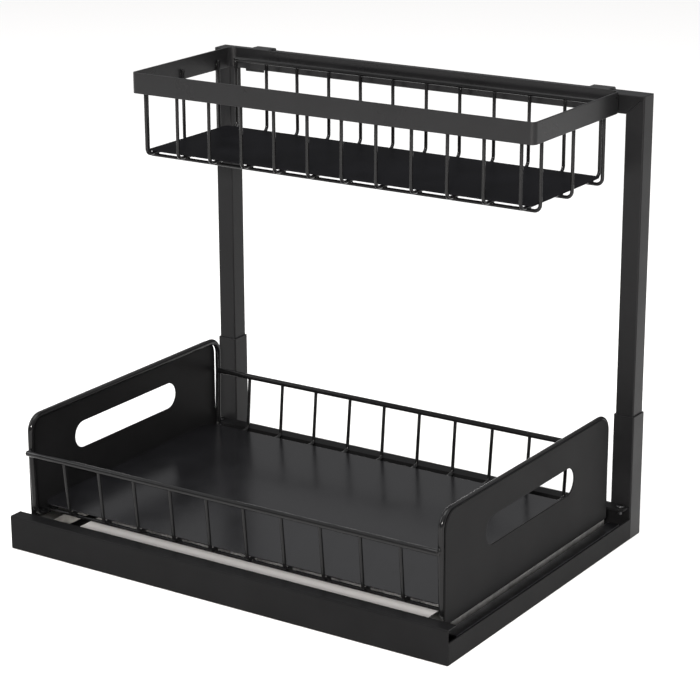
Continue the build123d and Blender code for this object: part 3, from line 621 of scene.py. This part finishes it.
panel(1, "side_panel_right_skin")
panel(-1, "side_panel_left_skin")

LOOP_X, LOOP_Z0, LOOP_Z1 = 186.2, 26.3, 107.4
TOP_Y, TOP_Z, REAR_TOP_Y = 8.4, 80.1, 257.9
Y_MID = 136.9
LOOP_Y = 13.1
LOOP_R = 2 * Y_MID - LOOP_Y


def loop_wire(s, name):
    x = LOOP_X * s
    path = rounded3(
        [
            (x, Y_MID, LOOP_Z0), (x, LOOP_R - 2.0, LOOP_Z0), (x, LOOP_R, 76.1), (x, LOOP_R, LOOP_Z1),
            (x, LOOP_Y, LOOP_Z1), (x, LOOP_Y, 76.1), (x, LOOP_Y + 2.0, LOOP_Z0), (x, Y_MID, LOOP_Z0),
        ],
        [9.0, 60.0, 12.0, 12.0, 60.0, 9.0], 10,
    )
    bm = bmesh.new()
    tube_into(bm, densify(path, 12.0), 4.8, 18, closed=True)
    ob = finish_mesh(name, bm, M_WIRE, weighted=False)
    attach(ob, "lower_basket")
    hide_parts(name.replace("_skin", ""))


loop_wire(1, "side_frame_wire_right_skin")
loop_wire(-1, "side_frame_wire_left_skin")

for name, yv, xe in (("front_top_wire", TOP_Y, 187.5), ("rear_top_wire", REAR_TOP_Y, 183.8)):
    bm = bmesh.new()
    tube_into(bm, densify([Vector((-xe, yv, TOP_Z)), Vector((xe, yv, TOP_Z))], 16.0), 4.6, 18, ends="dome" if xe > 185 else "flat")
    ob = finish_mesh(name + "_skin", bm, M_WIRE, weighted=False)
    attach(ob, "lower_basket"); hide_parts(name)

U_X = [-153.0 + 34.0 * i for i in range(10)]
U_Y, U_Z, LEAN = 12.15, 32.9, 4.8
rng = random.Random(4)
bm = bmesh.new()
for i, x in enumerate(U_X):
    j0, j1 = rng.uniform(-0.35, 0.35), rng.uniform(-0.35, 0.35)
    path = rounded3(
        [
            (x + j0, U_Y, TOP_Z + 0.4), (x, U_Y + LEAN, U_Z),
            (x, 2 * Y_MID - U_Y - LEAN, U_Z), (x + j1, 2 * Y_MID - U_Y, TOP_Z + 0.4),
        ],
        4.5, 8,
    )
    tube_into(bm, densify(path, 14.0), 2.8, 12, ends="dome")
ob = finish_mesh("lower_u_wires_skin", bm, M_WIRE, weighted=False)
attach(ob, "lower_basket"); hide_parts("lower_u_wires")

CW_Z = 30.1
CW_Y = [24.0, 79.0, 134.0, 189.0, 244.0]
bm = bmesh.new()
for yv in CW_Y:
    tube_into(bm, densify([Vector((-188.3, yv, CW_Z)), Vector((188.3, yv, CW_Z))], 16.0), 2.8, 12, ends="dome")
ob = finish_mesh("floor_cross_wires_skin", bm, M_WIRE, weighted=False)
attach(ob, "lower_basket"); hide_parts("floor_cross_wires")

# weld nuggets, coated over
bm = bmesh.new()
k = 0
for x in U_X:
    for yv in CW_Y:
        k += 1
        nugget_into(bm, (x, yv, 31.5), (1.7, 1.7, 0.8), k)
    for yv, sgn in ((TOP_Y, 1), (REAR_TOP_Y, 1)):
        k += 1
        nugget_into(bm, (x, yv + sgn * 2.3, TOP_Z - 0.6), (1.7, 0.8, 1.6), k)
for s in (1, -1):
    for yv in CW_Y:
        k += 1
        nugget_into(bm, (LOOP_X * s, yv, 28.7), (2.0, 1.8, 0.8), k)
    k += 1
    nugget_into(bm, ((LOOP_X - 0.4) * s, TOP_Y + 2.3, TOP_Z), (1.9, 1.2, 2.6), k)
    k += 1
    nugget_into(bm, (183.7 * s, REAR_TOP_Y, TOP_Z), (1.2, 2.5, 2.5), k)
    for yv in (40, 90, 180, 230):
        for zv in (LOOP_Z0, LOOP_Z1):
            k += 1
            nugget_into(bm, (188.5 * s, yv, zv), (0.6, 3.0, 1.2), k)
ob = finish_mesh("lower_weld_nuggets", bm, M_WIRE, weighted=False)
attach(ob, "lower_basket")

ob = prism("basket_floor_plate_skin", rounded2(rect2(-187, 187, 21.7, 246.5), 12, 12), [], "XY", 34.3, 35.3, M_PLATE, 0.35)
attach(ob, "lower_basket"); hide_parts("basket_floor_plate")

# ------------------------------------------------------------------ upper basket
bm = bmesh.new()
prism_into(
    bm, rounded2(rect2(-180.8, 180.8, 145.4, 280.2), [4.5, 4.5, 8.0, 8.0], 12),
    [rounded2(rect2(-179.3, 179.3, 146.9, 278.7), [3.0, 3.0, 6.5, 6.5], 12)], "XY", 341.8, 358.5, 0.45, 3,
)
ob = finish_mesh("rim_band_skin", bm, M_BAND)
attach(ob, "upper_basket"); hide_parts("rim_band")

bm = bmesh.new()
tube_into(bm, densify([Vector((-170.5, 270.4, 350.1)), Vector((170.5, 270.4, 350.1))], 16.0), 3.8, 18, ends="round")
ob = finish_mesh("upper_rear_top_wire_skin", bm, M_WIRE, weighted=False)
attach(ob, "upper_basket"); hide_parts("upper_rear_top_wire")

UX = [-168.9 + 337.8 / 11 * i for i in range(12)]
UCY = [161.4, 209.7, 258.0]
bm = bmesh.new()
for i, x in enumerate(UX):
    j0, j1 = rng.uniform(-0.3, 0.3), rng.uniform(-0.3, 0.3)
    path = rounded3([(x + j0, 148.3, 350.5), (x, 148.3, 293.0), (x, 270.4, 293.0), (x + j1, 270.4, 348.6)], 5.0, 8)
    tube_into(bm, densify(path, 14.0), 2.8, 12, ends="dome")
ob = finish_mesh("upper_u_wires_skin", bm, M_WIRE, weighted=False)
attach(ob, "upper_basket"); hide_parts("upper_u_wires")

bm = bmesh.new()
for yv in UCY:
    path = rounded3([(-177.9, yv, 350.5), (-177.9, yv, 290.2), (177.9, yv, 290.2), (177.9, yv, 350.5)], 5.0, 8)
    tube_into(bm, densify(path, 14.0), 2.8, 12, ends="dome")
ob = finish_mesh("upper_cross_wires_skin", bm, M_WIRE, weighted=False)
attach(ob, "upper_basket"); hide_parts("upper_cross_wires")

bm = bmesh.new()
for x in UX:
    for yv in UCY:
        k += 1
        nugget_into(bm, (x, yv, 291.6), (1.7, 1.7, 0.8), k)
    k += 1
    nugget_into(bm, (x, 147.1, 345.8), (1.5, 0.5, 2.6), k)
    k += 1
    nugget_into(bm, (x, 270.4, 348.4), (1.7, 1.5, 0.9), k)
for s in (1, -1):
    for yv in UCY:
        k += 1
        nugget_into(bm, (179.1 * s, yv, 345.8), (0.5, 1.5, 2.6), k)
ob = finish_mesh("upper_weld_nuggets", bm, M_WIRE, weighted=False)
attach(ob, "upper_basket")

# upper plate uses the darkened plate coat, with painted shade for the reflected beam and band
ob = prism("upper_bottom_plate_skin", rounded2(rect2(-174.5, 174.5, 155.5, 262.5), 4, 10), [], "XY", 294.4, 295.4, M_UPPER_PLATE_PAINTED_SHADE, 0.35)
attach(ob, "upper_basket"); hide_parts("upper_bottom_plate")


def hook(s, name):
    out = rounded2(
        [(280.2, 339.0), (281.7, 339.0), (281.7, 355.55), (298.2, 355.55), (298.2, 338.0), (299.7, 338.0),
         (299.7, 357.05), (280.2, 357.05)],
        [0.5, 0.5, 0.5, 0.5, 0.5, 0.5, 1.95, 1.95], 7,
    )
    lo, hi = sorted((148.0 * s, 166.0 * s))
    ob = prism(name, out, [], "YZ", lo, hi, M_BAND, 0.4)
    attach(ob, "upper_basket")
    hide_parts(name.replace("_skin", ""))


hook(1, "hook_right_skin")
hook(-1, "hook_left_skin")

# ------------------------------------------------------------------ CAD nodes kept as they are
FINISH = {
    "crossbar_bracket_left": M_SHEET, "crossbar_bracket_right": M_SHEET,
    "base_tie_front": M_SHEET, "base_tie_rear": M_SHEET,
    "post_screws": M_SCREW, "crossbar_screws": M_SCREW, "bracket_screws": M_SCREW,
    "slide_outer_left": M_SLIDE, "slide_outer_right": M_SLIDE,
    "slide_inner_left": M_SLIDE, "slide_inner_right": M_SLIDE,
    "slide_bumper_left": M_RUBBER, "slide_bumper_right": M_RUBBER,
    "ball_cage_left": M_CAGE, "ball_cage_right": M_CAGE,
    "slide_balls_left": M_BALL, "slide_balls_right": M_BALL,
    "basket_bracket_left": M_ZINC, "basket_bracket_right": M_ZINC,
}
for node, material in FINISH.items():
    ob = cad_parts[node]
    if not ob.material_slots:
        ob.data.materials.append(material)
    for sl in ob.material_slots:
        sl.material = material

# ------------------------------------------------------------------ stage, light, camera
bpy.ops.mesh.primitive_plane_add(size=12.0, location=(0, 0, 0))
floor = bpy.context.object
floor.name = "floor"
fm = bpy.data.materials.new("pale_floor")
fm.use_nodes = True
fb = fm.node_tree.nodes["Principled BSDF"]
fb.inputs["Base Color"].default_value = (0.93, 0.925, 0.92, 1)
fb.inputs["Roughness"].default_value = 0.6
fb.inputs["Specular IOR Level"].default_value = 0.2
floor.data.materials.append(fm)

world = bpy.data.worlds.new("studio")
bpy.context.scene.world = world
world.use_nodes = True
wn = world.node_tree
bg = wn.nodes["Background"]
tcw = wn.nodes.new("ShaderNodeTexCoord")
sep = wn.nodes.new("ShaderNodeSeparateXYZ")
rampw = wn.nodes.new("ShaderNodeValToRGB")
wn.links.new(tcw.outputs["Generated"], sep.inputs[0])
wn.links.new(sep.outputs["Z"], rampw.inputs["Fac"])
rampw.color_ramp.elements[0].position = 0.2
rampw.color_ramp.elements[0].color = (0.12, 0.12, 0.125, 1)
rampw.color_ramp.elements[1].position = 0.9
rampw.color_ramp.elements[1].color = (1.0, 1.0, 1.0, 1)
wn.links.new(rampw.outputs["Color"], bg.inputs["Color"])
bg.inputs["Strength"].default_value = 1.32


def area(name, loc, target, size, energy, size_y=None, color=(1, 1, 1)):
    l = bpy.data.lights.new(name, "AREA")
    l.energy = energy
    l.color = color
    if size_y:
        l.shape = "RECTANGLE"
        l.size = size
        l.size_y = size_y
    else:
        l.size = size
    o = bpy.data.objects.new(name, l)
    bpy.context.scene.collection.objects.link(o)
    o.location = loc
    o.rotation_euler = (Vector(target) - Vector(loc)).to_track_quat("-Z", "Y").to_euler()
    return o


area("key_top", (0.1, -0.3, 2.0), (0, 0, 0.1), 1.6, 24, 1.2)
area("fill_left", (-1.8, -1.0, 1.1), (0, 0, 0.15), 1.0, 18, 1.2)
area("fill_right", (1.9, 0.6, 0.9), (0, 0.05, 0.15), 0.8, 4, 1.2)
area("fill_camera", (1.0, -1.87, 0.923), (0, -0.055, 0.0), 0.3, 62, 0.16, (1.0, 0.96, 0.93))

# camera at the photograph's viewing angle
cam_data = bpy.data.cameras.new("camera")
cam_data.sensor_width = 36.0
cam_data.lens = 2361.82 * 36.0 / 700.0
cam_data.shift_x = (350.0 - 289.534) / 700.0
cam_data.shift_y = (365.719 - 350.0) / 700.0
cam_data.clip_start = 0.05
cam_data.clip_end = 50.0
cam = bpy.data.objects.new("camera", cam_data)
bpy.context.scene.collection.objects.link(cam)
az, el, roll = math.radians(34.631), math.radians(17.928), math.radians(-0.625)
fwd = Vector((-math.sin(az) * math.cos(el), math.cos(az) * math.cos(el), -math.sin(el)))
right = Vector((math.cos(az), math.sin(az), 0.0))
up = right.cross(fwd)
r2 = right * math.cos(roll) + up * math.sin(roll)
u2 = -right * math.sin(roll) + up * math.cos(roll)
rot = Matrix((
    (r2.x, u2.x, -fwd.x),
    (r2.y, u2.y, -fwd.y),
    (r2.z, u2.z, -fwd.z),
))
cam.matrix_world = Matrix.Translation(P(966.719, -1300.326, 709.889)) @ rot.to_4x4()
bpy.context.scene.camera = cam

bpy.context.scene.view_settings.view_transform = "Standard"
bpy.context.scene.view_settings.look = "None"
bpy.context.scene.view_settings.exposure = 0.0
bpy.context.scene.view_settings.gamma = 1.0
